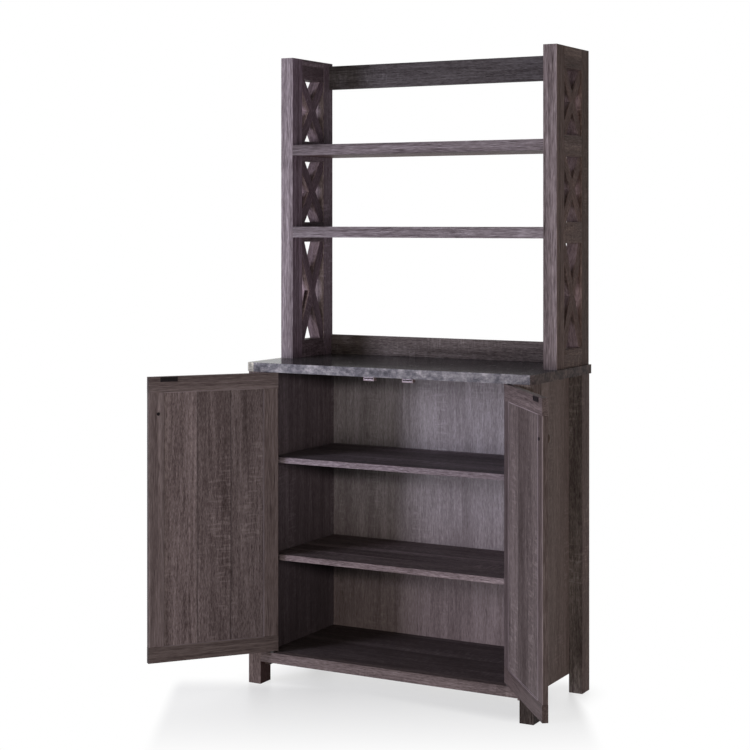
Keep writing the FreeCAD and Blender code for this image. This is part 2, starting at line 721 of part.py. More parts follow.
def make_door(side, sign):
    def span(start, length):
        """X of a stretch measured from the pivot towards the free edge."""
        return mirror_x(-sign, start, length)

    def part_name(piece):
        return "%s_door_%s" % (side, piece)

    groove_y = "door_panel_y - door_panel_play"
    inner_hinge = "door_member_width - pivot_from_edge"
    inner_free = "door_free - door_member_width"

    def make_rail(piece, z, groove_z):
        name = part_name(piece)
        board = box(
            name + "_board", (span("-pivot_from_edge", "door_width"), "-door_face", z),
            ("door_width", "door_thickness", "door_member_width"),
        )
        groove_length = "door_width - 2 * door_groove_stop"
        groove_x = span("door_groove_stop - pivot_from_edge", groove_length)
        groove = box(
            name + "_groove", (groove_x, groove_y, groove_z),
            (groove_length, "door_groove", "door_groove_depth"),
        )
        finish_on_door(sign, name, cut(name, board, [groove] + bores.pop(name, [])))

    def make_stile(piece, start, tongue_start, groove_start):
        name = part_name(piece)
        board = box(
            name + "_board", (span(start, "door_member_width"), "-door_face", "stile_low"),
            ("door_member_width", "door_thickness", "stile_length"),
        )
        tongue_length = "door_member_width - door_groove_stop - door_groove_depth"
        tongue = box(
            name + "_tongues",
            (span(tongue_start, tongue_length), groove_y, "stile_low - door_groove_depth"),
            (tongue_length, "door_groove", "stile_length + 2 * door_groove_depth"),
        )
        groove = box(
            name + "_groove", (span(groove_start, "door_groove_depth"), groove_y, "stile_low"),
            ("door_groove_depth", "door_groove", "stile_length"),
        )
        whole = joined(name + "_solid", [board, tongue])
        finish_on_door(sign, name, cut(name, whole, [groove] + bores.pop(name, [])))

    def make_panel():
        name = part_name("panel")
        tuck = "door_groove_depth - door_panel_play"
        length = "door_width - 2 * door_member_width + 2 * (%s)" % tuck
        x = span("%s - (%s)" % (inner_hinge, tuck), length)
        board = box(
            name + "_board", (x, "door_panel_y", "stile_low - (%s)" % tuck),
            (length, "door_panel_thickness", "stile_length + 2 * (%s)" % tuck),
        )
        finish_on_door(sign, name, group(name, [board]))

    def make_pins():
        pins = []
        for level, low, low_gap, high_gap in (
            ("low", "door_low", "door_bottom_gap + pivot_pin_bush_length", "pivot_pin_door_length"),
            ("high", "door_high", "pivot_pin_door_length", "door_top_gap + pivot_pin_bush_length"),
        ):
            name = part_name(level + "_pin")
            start = ("0", "0", "%s - (%s)" % (low, low_gap))
            pin = rod(name, "z", start, "pivot_pin_radius", "%s + %s" % (low_gap, high_gap))
            pins.append(pin)
            drill(pin, part_name("bottom_rail" if level == "low" else "top_rail"))
        finish_on_door(sign, part_name("pivot_pins"), group(part_name("pivot_pins"), pins))

    def make_knob():
        x = span("knob_x", "0")
        name = part_name("knob")
        neck_start = (x, "-door_face - knob_neck_length", "knob_z")
        neck = rod(name + "_neck", "y", neck_start, "knob_neck_radius", "knob_neck_length")
        head = doc.addObject("Part::Ellipsoid", name + "_head")
        head.Placement.Rotation = AXES["y"]
        head.Angle1 = -90
        head.Angle2 = 90
        bind(head, Radius1="knob_head_half_length", Radius2="knob_head_radius", Radius3="knob_head_radius")
        place(head, (x, "-door_face - knob_neck_length", "knob_z"))
        screw_start = (x, "-door_face - knob_screw_grip", "knob_z")
        screw_length = "door_thickness + knob_screw_grip"
        shank = rod(name + "_screw_shank", "y", screw_start, "knob_screw_radius", screw_length)
        cap = rod(
            name + "_screw_head", "y", (x, "door_face", "knob_z"),
            "knob_screw_head_radius", "knob_screw_head_height",
        )
        bore = rod(name + "_screw_bore", "y", screw_start, "knob_screw_radius + screw_play", screw_length)
        drill(bore, name, part_name("latch_stile"))
        finish_on_door(sign, name, cut(name, joined(name + "_solid", [neck, head]), bores.pop(name)))
        return joined(name + "_screw", [shank, cap])

    def make_strike():
        name = part_name("strike_plate")
        middle = span("strike_x", "0")
        plate = box(
            name + "_sheet",
            (middle + " - strike_length / 2", "door_face", "strike_z - strike_height / 2"),
            ("strike_length", "strike_thickness", "strike_height"),
        )
        screws, holes = [], []
        for spot, offset in (("inner", "-strike_screw_spacing / 2"), ("outer", "strike_screw_spacing / 2")):
            x = "%s + %s" % (middle, offset)
            start = (x, "door_face - strike_screw_length", "strike_z")
            length = "strike_screw_length + strike_thickness"
            shank = rod("%s_%s_shank" % (name, spot), "y", start, "strike_screw_radius", length)
            cap_start = (x, "door_face + strike_thickness", "strike_z")
            cap = rod(
                "%s_%s_cap" % (name, spot), "y", cap_start,
                "strike_screw_head_radius", "strike_screw_head_height",
            )
            screws.append(joined("%s_%s_screw" % (name, spot), [shank, cap]))
            hole = rod("%s_%s_hole" % (name, spot), "y", start, "strike_screw_radius + screw_play", length)
            holes.append(hole)
            drill(hole, part_name("top_rail"))
        finish_on_door(sign, name, cut(name, plate, holes))
        return screws

    make_pins()
    screws = [make_knob()] + make_strike()
    finish_on_door(sign, part_name("screws"), group(part_name("screws"), screws))
    make_rail("top_rail", "door_high - door_member_width", "door_high - door_member_width")
    make_rail("bottom_rail", "door_low", "stile_low - door_groove_depth")
    make_stile(
        "hinge_stile", "-pivot_from_edge", "door_groove_stop - pivot_from_edge",
        "%s - door_groove_depth" % inner_hinge,
    )
    make_stile("latch_stile", inner_free, inner_free + " + door_groove_depth", inner_free)
    make_panel()


set_out_dowels()
set_out_hutch_bolts()
set_out_pivot_bushes()
set_out_shelf_pins()
make_front_rail()
make_back_panel()
make_bottom_panel()
make_legs()
make_side_panels()
make_base_shelves()
make_counter()
make_catches()
make_hutch_rails()
make_back_rails()
make_hutch_posts()
make_hutch_shelves()
make_crosses()
for door_side, door_sign in SIDES:
    make_door(door_side, door_sign)

doc.recompute()

if bores:
    raise RuntimeError("bores left uncut: %s" % sorted(bores))
for item in doc.Objects:
    if "Invalid" in item.State or "Error" in item.State:
        raise RuntimeError("%s is %s" % (item.Label, item.State))
for node_name, item in nodes.items():
    if item.Shape.isNull() or not item.Shape.isValid() or not item.Shape.Solids:
        raise RuntimeError("%s has no valid solid" % node_name)

os.makedirs("parts", exist_ok=True)
for node_name, item in nodes.items():
    item.Shape.exportStep("parts/%s.step" % node_name)
print("%d sub-parts, %d solids" % (len(nodes), sum(len(item.Shape.Solids) for item in nodes.values())))
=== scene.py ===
import json
import math

import bpy
from mathutils import Matrix, Vector

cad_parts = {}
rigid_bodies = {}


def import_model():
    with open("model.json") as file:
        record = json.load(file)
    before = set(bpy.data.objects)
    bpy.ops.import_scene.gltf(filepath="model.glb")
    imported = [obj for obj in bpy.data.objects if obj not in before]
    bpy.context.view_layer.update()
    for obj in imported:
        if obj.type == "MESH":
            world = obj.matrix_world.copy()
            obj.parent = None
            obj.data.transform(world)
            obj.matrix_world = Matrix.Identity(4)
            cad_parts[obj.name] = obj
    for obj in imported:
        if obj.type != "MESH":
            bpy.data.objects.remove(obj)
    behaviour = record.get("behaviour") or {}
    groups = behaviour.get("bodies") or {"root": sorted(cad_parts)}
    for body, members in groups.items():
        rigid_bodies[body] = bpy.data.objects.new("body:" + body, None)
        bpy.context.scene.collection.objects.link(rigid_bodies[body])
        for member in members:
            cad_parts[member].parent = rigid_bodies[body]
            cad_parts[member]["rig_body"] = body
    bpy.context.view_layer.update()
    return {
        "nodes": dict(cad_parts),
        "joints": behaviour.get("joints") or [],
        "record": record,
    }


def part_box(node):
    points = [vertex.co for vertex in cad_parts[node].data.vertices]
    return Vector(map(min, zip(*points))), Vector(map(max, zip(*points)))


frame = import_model()

# Looks of the microwave cabinet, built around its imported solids. Lengths are in metres, in the same frame.

scene = bpy.context.scene
nodes = frame["nodes"]
joints = {joint["child"]: joint for joint in frame["joints"]}

# The camera, fitted to the photograph, which is 750 pixels wide and high.
PHOTO_PIXELS = 750
FOCAL_PIXELS = 1725.85
HORIZON_ROW = 222.74
CAMERA_PLACE = (2.03496, -3.94059, 1.18973)
CAMERA_TURN = math.radians(28.73)
SENSOR_MM = 36

# Studio: soft boxes stand round the cabinet at this distance, aimed at its middle.
STUDIO_DISTANCE = 4.0
STUDIO_AIM = Vector((0, 0, 0.8))
COOL = (0.80, 0.81, 1.0)
PLAIN = (1.0, 0.96, 0.95)
WARM = (1.0, 0.90, 0.80)
AMBIENT = 0.08
WHITE = (1, 1, 1, 1)

# The floor is white to the camera. Under the cabinet, and on a band before it that fades towards the
# camera, it shows the shadow and a faint blurred reflection.
FLOOR_SIZE = 30
FLOOR_GREY = (0.8, 0.8, 0.8, 1)
FOOT_HALF = (0.32, 0.11, 1)
FOOT_REACH = 0.16
BAND_NEAR = -0.615
BAND_FULL = -0.04
BAND_END = 0.10
BAND_MIDDLE = -0.112
BAND_HALF = 0.53
BAND_SOFT = 0.04
SHADE_SHARE = 0.29
REFLECTION_SHARE = 0.14
REFLECTION_BLUR = 0.38

# Most of a noise lies in this span, round its middle.
NOISE_SPAN = (0.3, 0.7)
NOISE_MIDDLE = 0.5

# Sides that a face can look to: the axis and its sign. A face counts in full when its normal is close to
# the axis.
FACE_SIDES = {"front": (1, -1), "right": (0, 1), "top": (2, 1), "under": (2, -1)}
FACING_SPAN = (0.3, 0.9)


def colour(red, green, blue):
    """A colour given in display values from 0 to 255, as linear values."""
    def linear(value):
        share = value / 255
        return share / 12.92 if share <= 0.04045 else ((share + 0.055) / 1.055) ** 2.4

    return (linear(red), linear(green), linear(blue), 1)


def channels(tone):
    """A tone, given as one number or as three, as a colour."""
    return (tone if isinstance(tone, tuple) else (tone, tone, tone)) + (1,)


def toned(shade, tone):
    """A colour times a tone."""
    return tuple(channel * share for channel, share in zip(shade, channels(tone)))


class Recipe:
    """The nodes of a material or a world. Most methods add one node and give its output."""

    def __init__(self, owner):
        owner.use_nodes = True
        self.owner = owner
        self.tree = owner.node_tree

    def put(self, socket, value):
        if isinstance(value, bpy.types.NodeSocket):
            self.tree.links.new(value, socket)
        else:
            socket.default_value = value

    def add(self, kind, inputs=None, **settings):
        node = self.tree.nodes.new("ShaderNode" + kind)
        for key, value in settings.items():
            setattr(node, key, value)
        for key, value in (inputs or {}).items():
            self.put(node.inputs[key], value)
        return node

    def finish(self, **values):
        """Set the shader's own sockets and give the material. An underscore stands for a space in a name."""
        shader = self.tree.nodes["Principled BSDF"]
        for key, value in values.items():
            self.put(shader.inputs[key.replace("_", " ")], value)
        return self.owner

    def math(self, operation, *values):
        return self.add("Math", dict(enumerate(values)), operation=operation).outputs[0]

    def vector(self, operation, *values):
        return self.add("VectorMath", dict(enumerate(values)), operation=operation).outputs[0]

    def number(self, operation, *vectors):
        return self.add("VectorMath", dict(enumerate(vectors)), operation=operation).outputs["Value"]

    def place(self):
        return self.add("TexCoord").outputs["Object"]

    def facing(self, side):
        """1 on faces that look to a side, and 0 on those that look elsewhere."""
        axis, sign = FACE_SIDES[side]
        normal = self.split(self.add("TexCoord").outputs["Normal"])
        return self.between(self.math("MULTIPLY", normal[axis], sign), *FACING_SPAN)

    def split(self, vector):
        return self.add("SeparateXYZ", {0: vector}).outputs

    def joined(self, x, y, z):
        return self.add("CombineXYZ", {0: x, 1: y, 2: z}).outputs[0]

    def noise(self, vector, stretch, detail=2.0, roughness=0.5):
        stretched = self.vector("MULTIPLY", vector, stretch)
        inputs = {"Vector": stretched, "Scale": 1.0, "Detail": detail, "Roughness": roughness}
        return self.add("TexNoise", inputs).outputs["Fac"]

    def between(self, value, low, high, low_result=0.0, high_result=1.0, smooth=True):
        """A change from one result to the other as the value goes from low to high."""
        inputs = {
            "Value": value,
            "From Min": low,
            "From Max": high,
            "To Min": low_result,
            "To Max": high_result,
        }
        kind = "SMOOTHSTEP" if smooth else "LINEAR"
        return self.add("MapRange", inputs, interpolation_type=kind).outputs["Result"]

    def total(self, weighted, start=0.0):
        """The start plus each value times its weight."""
        result = start
        for value, weight in weighted:
            result = self.math("ADD", result, self.math("MULTIPLY", value, weight))
        return result

    def ramp(self, value, stops):
        node = self.add("ValToRGB", {"Fac": value})
        elements = node.color_ramp.elements
        while len(elements) < len(stops):
            elements.new(0.5)
        for element, (place, shade) in zip(elements, stops):
            element.position = place
            element.color = shade
        return node.outputs["Color"]

    def mix(self, share, first, second):
        """A mix of two colours. Their sockets have numbers here because a Mix node repeats their names."""
        node = self.add("Mix", {"Factor": share}, data_type="RGBA", clamp_factor=True)
        self.put(node.inputs[6], first)
        self.put(node.inputs[7], second)
        return node.outputs[2]

    def scaled(self, paint, factor):
        return self.vector("MULTIPLY", paint, self.joined(factor, factor, factor))

    def tinted(self, paint, share, tone):
        """Paint times a tone where the share is 1, and as it is where the share is 0."""
        return self.vector("MULTIPLY", paint, self.mix(share, WHITE, channels(tone)))

    def bump(self, height, distance, strength):
        inputs = {"Height": height, "Distance": distance, "Strength": strength}
        return self.add("Bump", inputs).outputs["Normal"]


def new_material(name):
    return Recipe(bpy.data.materials.new(name))


# Sawn grey oak. Its shades run from the pores to the palest ticks, and stand at these places of a ramp.

WOOD_SHADES = ((48, 40, 40), (83, 72, 71), (110, 98, 97), (139, 126, 125), (180, 166, 165))
WOOD_PLACES = (0.0, 0.3, 0.5, 0.7, 1.0)
WOOD_MIDDLE = 0.5
# Colour of the painted highlights along the edges of the doors.
WOOD_HIGHLIGHT = (152, 139, 139)
WOOD_SHINE = 0.025
WOOD_ROUGHNESS = (0.42, 0.54)
RELIEF_DEPTH = 0.0003
RELIEF_STRENGTH = 0.45
SEED_STEP = 3.17
PLANKS_PER_METRE = 11.5
PLANK_START = 9.0
SMOOTH_RUN = 0.4

# Noises of the grain: how fine each is across, through and along it, then its detail and its roughness.
BROAD = ((30, 30, 2.6), 2.0, 0.5)
STREAK = ((170, 170, 8), 3.0, 0.6)
TICK = ((480, 480, 68), 2.0, 0.6)
FIBRE = ((1150, 1150, 160), 2.0, 0.6)
PORE = ((640, 640, 36), 1.0, 0.5)
PORE_SPAN = (0.38, 0.28)
RINGS = ((22, 22, 1.1), 1.0, 0.4)
RING_TURNS = 62.0
SAW = ((24, 24, 150), 2.0, 0.5)
SAW_SPAN = (0.50, 0.64)
SAW_PATCH = ((10, 10, 3.5), 1.0, 0.5)
SAW_PATCH_SPAN = (0.53, 0.64)

# How much each layer of the grain counts.
PLANK_WEIGHT = 0.16
BROAD_WEIGHT = 0.40
STREAK_WEIGHT = 0.38
TICK_WEIGHT = 0.62
FIBRE_WEIGHT = 0.40
FIGURE_WEIGHT = 0.03
SAW_WEIGHT = 0.11
PORE_WEIGHT = -0.22


def grain_place(recipe, grain):
    """Coordinates whose third runs along the grain."""
    x, y, z = recipe.split(recipe.place())
    return {"z": (x, y, z), "x": (y, z, x), "y": (z, x, y)}[grain]


def planked_grain(recipe, seed, place, smooth, planking):
    """Coordinates along the grain that start anew on each plank, and what each plank has of its own.

    That is a random lightness, a random figure and, where the planking is given, a tone.
    """
    across, through, along = place(recipe)
    shift = (seed * SEED_STEP, -seed * SEED_STEP / 2, 0)
    plank_tone = None
    section = recipe.joined(across, through, 0.0)
    if planking:
        step, plank_tone = planking(recipe)
        section = recipe.joined(step, 0.0, 0.0)
    inputs = {"Vector": recipe.vector("ADD", section, shift), "Scale": PLANKS_PER_METRE}
    planks = recipe.add("TexVoronoi", inputs, voronoi_dimensions="2D")
    lightness, start, figure = recipe.split(planks.outputs["Color"])
    if smooth:
        along = recipe.math("MULTIPLY", along, SMOOTH_RUN)
    along = recipe.math("ADD", along, recipe.math("MULTIPLY", start, PLANK_START))
    grain = recipe.vector("ADD", recipe.joined(across, through, along), shift)
    return grain, lightness, figure, plank_tone


def saw_marks(recipe, grain):
    """Marks of the saw across the grain, in patches."""
    marks = recipe.between(recipe.noise(grain, *SAW), *SAW_SPAN)
    return recipe.math("MULTIPLY", marks, recipe.between(recipe.noise(grain, *SAW_PATCH), *SAW_PATCH_SPAN))


def wood(
    name, seed, tone, contrast, place, smooth=False,
    edge_light_and_shade=None, planking=None, faces=None, fade=None, shade=None,
):
    """Sawn oak print: planks, short ticks along the grain, growth figure, pores and cross saw marks.

    Smooth boards have longer ticks and no saw marks. The place, edge_light_and_shade, planking and shade are
    functions of the recipe. The edge_light_and_shade gives painted highlights along a door's edges and
    painted shade on its free edge; the shade gives painted shade under covers and painted light on crosses.
    The faces give painted light and shade on sides, and the fade gives the painted light and shade at the
    base's foot and top.
    """
    recipe = new_material(name)
    grain, lightness, figure, plank_tone = planked_grain(recipe, seed, place, smooth, planking)
    broad = recipe.noise(grain, *BROAD)
    streak = recipe.noise(grain, *STREAK)
    tick = recipe.noise(grain, *TICK)
    fibre = recipe.noise(grain, *FIBRE)
    pore = recipe.between(recipe.noise(grain, *PORE), *PORE_SPAN)
    rings = recipe.math("MULTIPLY", recipe.noise(grain, *RINGS), recipe.math("ADD", RING_TURNS, figure))

    even_layers = (
        (lightness, PLANK_WEIGHT),
        (broad, BROAD_WEIGHT),
        (streak, STREAK_WEIGHT),
        (tick, TICK_WEIGHT),
        (fibre, FIBRE_WEIGHT),
    )
    layers = [(recipe.math("SUBTRACT", layer, NOISE_MIDDLE), weight) for layer, weight in even_layers]
    layers.append((recipe.math("SINE", rings), FIGURE_WEIGHT))
    if not smooth:
        layers.append((saw_marks(recipe, grain), SAW_WEIGHT))
    layers.append((pore, PORE_WEIGHT))
    level = recipe.total([(recipe.total(layers), contrast)], start=WOOD_MIDDLE)
    shades = [toned(colour(*display), tone) for display in WOOD_SHADES]
    paint = recipe.ramp(level, list(zip(WOOD_PLACES, shades)))

    # Painted highlights along a door's edges, and painted shade on its free edge.
    if edge_light_and_shade:
        highlight, edge_shade = edge_light_and_shade(recipe)
        paint = recipe.scaled(recipe.mix(highlight, paint, colour(*WOOD_HIGHLIGHT)), edge_shade)
    if planking:
        paint = recipe.scaled(paint, plank_tone)
    # Painted light and shade on some faces of the board.
    for side, face_light_and_shade in (faces or {}).items():
        paint = recipe.tinted(paint, recipe.facing(side), face_light_and_shade)
    # Painted shade: darker towards the foot, lighter towards the top.
    if fade:
        height = recipe.between(recipe.split(recipe.place())[2], FADE_LOW, FADE_HIGH)
        low_tone, high_tone = (channels(end_tone) for end_tone in fade)
        paint = recipe.vector("MULTIPLY", paint, recipe.mix(height, low_tone, high_tone))
    # Painted shade under covers, or painted light on the front-facing sides of crosses' arms.
    if shade:
        paint = recipe.scaled(paint, shade(recipe))
    relief = recipe.math("SUBTRACT", recipe.math("ADD", tick, fibre), pore)
    return recipe.finish(
        Base_Color=paint,
        Roughness=recipe.between(streak, *NOISE_SPAN, *WOOD_ROUGHNESS),
        Specular_IOR_Level=WOOD_SHINE,
        Normal=recipe.bump(relief, RELIEF_DEPTH, RELIEF_STRENGTH),
    )


# Doors. They are drawn open, so their patterns are laid out on the shut door.
# A door's panel runs this far into its frame. Painted highlights: pale lines follow the edge of its opening.

PANEL_TUCK = 0.0079
LINE_CORE = 0.0007
LINE_REACH = 0.0018
HIGHLIGHT_PATCHES = (14, 14, 14)
HIGHLIGHT_SHARES = {"left_door": 0.5, "right_door": 0.9}
HIGHLIGHT_LEAST = 0.5

# Painted shade: the free edge of a door is darker than its face. Painted highlights: the stile that is seen
# edge on has pale lines beside the panel and along its free edge.
EDGE_CORE = 0.0003
EDGE_REACH = 0.0007
FREE_EDGE_SHADES = {"left_door": 0.4, "right_door": 0.95}
HIGHLIGHT_STILE = "right_door_latch_stile"
STILE_LINE = 0.007
ARRIS_LINE = 0.0025

# The panel's print shows planks of one width, with dark seams. Their tones go evenly from side to side.
PANEL_PLANKS = 3
PLANK_STEP = 0.37
PLANK_TONES = {"left_door": (0.78, 1.14), "right_door": (1.0, 1.1)}
SEAM_CORE = 0.0006
SEAM_REACH = 0.0030
SEAM_TONE = 0.6


def shut_turn(joint):
    """The turn about its hinge that takes a door from where it is drawn to where it is shut."""
    return math.radians(joint["range_deg"][0]) * joint["axis"][2]


def shut_place(recipe, joint):
    """Coordinates in the frame of a door, turned back about its hinge to where it is shut."""
    inputs = {"Vector": recipe.place(), "Center": joint["pos_m"], "Angle": shut_turn(joint)}
    return recipe.split(recipe.add("VectorRotate", inputs, rotation_type="Z_AXIS").outputs[0])


def shut_box(node, joint):
    """The lowest and highest corners of a door's piece when the door is shut."""
    turn = Matrix.Rotation(shut_turn(joint), 3, "Z")
    hinge = Vector(joint["pos_m"])
    points = [turn @ (vertex.co - hinge) + hinge for vertex in nodes[node].data.vertices]
    low = Vector([min(point[axis] for point in points) for axis in range(3)])
    high = Vector([max(point[axis] for point in points) for axis in range(3)])
    return low, high


def door_place(recipe, joint, grain):
    """Coordinates on the shut door whose third runs along the grain."""
    x, y, z = shut_place(recipe, joint)
    return {"z": (x, y, z), "x": (y, z, x)}[grain]


def from_outline(recipe, value, low, high):
    """How far a coordinate lies outside a span, which is less than 0 inside it."""
    away = recipe.math("ABSOLUTE", recipe.math("SUBTRACT", value, (low + high) / 2))
    return recipe.math("SUBTRACT", away, (high - low) / 2)


def stile_highlight(recipe, joint):
    """Where the stile that is seen edge on gets painted highlights: beside the panel and along its free
    edge.
    """
    x, y, _ = shut_place(recipe, joint)
    low, high = shut_box(HIGHLIGHT_STILE, joint)
    beside_panel = recipe.between(x, high.x - STILE_LINE, high.x - STILE_LINE / 2)
    at_edge = recipe.between(x, low.x + EDGE_CORE, low.x + EDGE_REACH, 1.0, 0.0)
    at_face = recipe.between(y, high.y - ARRIS_LINE, high.y - ARRIS_LINE / 2)
    return recipe.math("MAXIMUM", beside_panel, recipe.math("MULTIPLY", at_edge, at_face))


def door_highlights(recipe, node, body, joint):
    """Where a door gets painted highlights, round its panel, and the painted shade of its free edge."""
    x, y, z = shut_place(recipe, joint)
    low, high = shut_box(body + "_panel", joint)
    beside = from_outline(recipe, x, low.x + PANEL_TUCK, high.x - PANEL_TUCK)
    above = from_outline(recipe, z, low.z + PANEL_TUCK, high.z - PANEL_TUCK)
    outline = recipe.math("ABSOLUTE", recipe.math("MAXIMUM", beside, above))
    highlight = recipe.between(outline, LINE_CORE, LINE_REACH, 1.0, 0.0)
    if node == HIGHLIGHT_STILE:
        highlight = recipe.math("MAXIMUM", highlight, stile_highlight(recipe, joint))
    patches = recipe.noise(recipe.joined(x, y, z), HIGHLIGHT_PATCHES)
    most = HIGHLIGHT_SHARES[body]
    uneven = recipe.between(patches, *NOISE_SPAN, HIGHLIGHT_LEAST * most, most)
    low, high = shut_box(body + "_top_rail", joint)
    inside = recipe.math("MULTIPLY", from_outline(recipe, x, low.x, high.x), -1.0)
    edge_shade = recipe.between(inside, EDGE_CORE, EDGE_REACH, FREE_EDGE_SHADES[body], 1.0)
    return recipe.math("MULTIPLY", highlight, uneven), edge_shade


def panel_planks(recipe, body, joint):
    """A coordinate that steps from plank to plank of a door's panel, and the tone of planks and seams."""
    x = shut_place(recipe, joint)[0]
    low, high = shut_box(body + "_panel", joint)
    width = (high.x - low.x - 2 * PANEL_TUCK) / PANEL_PLANKS
    count = recipe.math("DIVIDE", recipe.math("SUBTRACT", x, low.x + PANEL_TUCK), width)
    from_seam = recipe.math("MULTIPLY", recipe.math("PINGPONG", count, 0.5), width)
    seam_tone = recipe.between(from_seam, SEAM_CORE, SEAM_REACH, SEAM_TONE, 1.0)
    plank = recipe.math("FLOOR", count)
    plank_tone = recipe.between(plank, 0, PANEL_PLANKS - 1, *PLANK_TONES[body], smooth=False)
    return recipe.math("MULTIPLY", plank, PLANK_STEP), recipe.math("MULTIPLY", plank_tone, seam_tone)


# Crosses of the hutch. The sides of their arms that look to the front get painted light in the front half,
# and the change takes this far on both sides of the middle.

REVEAL_REACH = 0.008
REVEAL_LIGHT = {"left": 1.8, "right": 1.0}


def cross_place(recipe, node):
    """Grain coordinates along the arms of a cross: its four half arms are folded onto one."""
    low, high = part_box(node)
    middle = (low + high) / 2
    slope = math.atan2(high.z - low.z, high.y - low.y)
    x, y, z = recipe.split(recipe.vector("SUBTRACT", recipe.place(), tuple(middle)))
    arm = recipe.total([(recipe.math("SIGN", z), SEED_STEP)], start=recipe.math("SIGN", y))
    y = recipe.math("ABSOLUTE", y)
    z = recipe.math("ABSOLUTE", z)
    along = recipe.total([(y, math.cos(slope)), (z, math.sin(slope))])
    across = recipe.total([(z, math.cos(slope)), (y, -math.sin(slope))])
    return across, x, recipe.math("ADD", along, arm)


def reveal_light(recipe, node):
    """Tone of the arms of a cross: painted light on their sides that look to the front, next to the front
    post.
    """
    low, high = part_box(node)
    middle = (low.y + high.y) / 2
    y = recipe.split(recipe.place())[1]
    near_front = recipe.between(y, middle - REVEAL_REACH, middle + REVEAL_REACH, 1.0, 0.0)
    pale = recipe.math("MULTIPLY", near_front, recipe.facing("front"))
    side = node.split("_")[0]
    return recipe.between(pale, 0.0, 1.0, 1.0, REVEAL_LIGHT[side])


# The counter and the base shelves shade the inner faces of these boards under them, most at the left.
# A cover's number is the slope of its shade, from the cover's front edge down to the back.

COVERS = {"counter_top": 0.18, "upper_base_shelf": 0.25, "lower_base_shelf": 0.31}
INNER_SIDES = {"back_panel": "front", "left_side_panel": "right"}
SHADE_SPAN = (-0.36, 0.10)
SHADE_DEPTHS = (0.82, 0.15)
SHADE_REACH = 0.022


def cover_shade(recipe, node):
    """Tone of a board inside the cabinet, with the shade under each cover on its inner face."""
    x, _, z = recipe.split(recipe.place())
    depth = recipe.between(x, *SHADE_SPAN, *SHADE_DEPTHS)
    depth = recipe.math("MULTIPLY", depth, recipe.facing(INNER_SIDES[node]))
    tone = 1.0
    for cover, slope in COVERS.items():
        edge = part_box(cover)[0]
        from_edge = recipe.vector("SUBTRACT", recipe.place(), tuple(edge))
        above = recipe.number("DOT_PRODUCT", from_edge, (0, slope, 1))
        shade = recipe.between(above, -SHADE_REACH, SHADE_REACH)
        shade = recipe.math("MULTIPLY", shade, recipe.math("LESS_THAN", z, edge.z))
        tone = recipe.math("SUBTRACT", tone, recipe.math("MULTIPLY", shade, depth))
    return tone


# Stone-look laminate of the counter: its shades, their places on a ramp, its noises and what they count.

STONE_SHADES = ((58, 57, 60), (90, 88, 91), (115, 112, 113), (152, 148, 147))
STONE_PLACES = (0.15, 0.42, 0.58, 0.85)
STONE_START = -0.50
STONE_SHIFT = (3.1, 0, 0)
CLOUD = ((22, 34, 34), 5.0, 0.6)
CLOUD_WEIGHT = 0.9
BLOTCH = ((75, 110, 110), 4.0, 0.62)
BLOTCH_WEIGHT = 1.1
FLECK = ((60, 210, 210), 3.0, 0.6)
FLECK_SPAN = (0.62, 0.72)
FLECK_WEIGHT = 0.25
SPECK = ((520, 520, 520), 2.0, 0.5)
SPECK_SPAN = (0.36, 0.28)
SPECK_WEIGHT = -0.12
STONE_ROUGHNESS = (0.10, 0.16)
STONE_SHINE = 0.015
STONE_RELIEF = 0.0002
STONE_RELIEF_STRENGTH = 0.3

# Painted light: the counter's left end is a paler strip, a painted highlight, and its faces get painted
# light and shade, the front lighter and the top and the right side darker.
COUNTER_END = -0.380
COUNTER_END_REACH = 0.002
COUNTER_END_HIGHLIGHT = (2.70, 2.70, 2.15)
COUNTER_FACE_LIGHT = {"right": (0.80, 0.62, 0.58), "front": 1.24, "top": 0.66}


def counter_stone():
    """Stone-look laminate: cloudy blue grey with pale flecks and fine dark specks, satin."""
    recipe = new_material("counter_stone")
    place = recipe.vector("ADD", recipe.place(), STONE_SHIFT)
    blotch = recipe.noise(place, *BLOTCH)
    layers = (
        (recipe.noise(place, *CLOUD), CLOUD_WEIGHT),
        (blotch, BLOTCH_WEIGHT),
        (recipe.between(recipe.noise(place, *FLECK), *FLECK_SPAN), FLECK_WEIGHT),
        (recipe.between(recipe.noise(place, *SPECK), *SPECK_SPAN), SPECK_WEIGHT),
    )
    shades = [colour(*display) for display in STONE_SHADES]
    paint = recipe.ramp(recipe.total(layers, start=STONE_START), list(zip(STONE_PLACES, shades)))
    # Painted highlight on the left end, and painted light and shade on the faces.
    x = recipe.split(recipe.place())[0]
    end = recipe.between(x, COUNTER_END, COUNTER_END - COUNTER_END_REACH)
    paint = recipe.tinted(paint, end, COUNTER_END_HIGHLIGHT)
    for side, tone in COUNTER_FACE_LIGHT.items():
        paint = recipe.tinted(paint, recipe.facing(side), tone)
    return recipe.finish(
        Base_Color=paint,
        Roughness=recipe.between(blotch, *NOISE_SPAN, *STONE_ROUGHNESS),
        Specular_IOR_Level=STONE_SHINE,
        Normal=recipe.bump(blotch, STONE_RELIEF, STONE_RELIEF_STRENGTH),
    )


# Small parts: the fineness of their surfaces, and the tones of their darker or worn places.

METAL_MOTTLE = (300, 300, 300)
METAL_DARK = 0.75
PAINT_PEEL = (900, 900, 900)
PAINT_PATCHES = (160, 160, 160)
PAINT_WORN = 1.6
PAINT_WORN_SPAN = (0.45, 0.75)
PAINT_SHINE = 0.08
PLASTIC_GRAIN = (1400, 1400, 1400)
PLASTIC_PATCHES = (70, 70, 70)
PLASTIC_DARK = 0.86


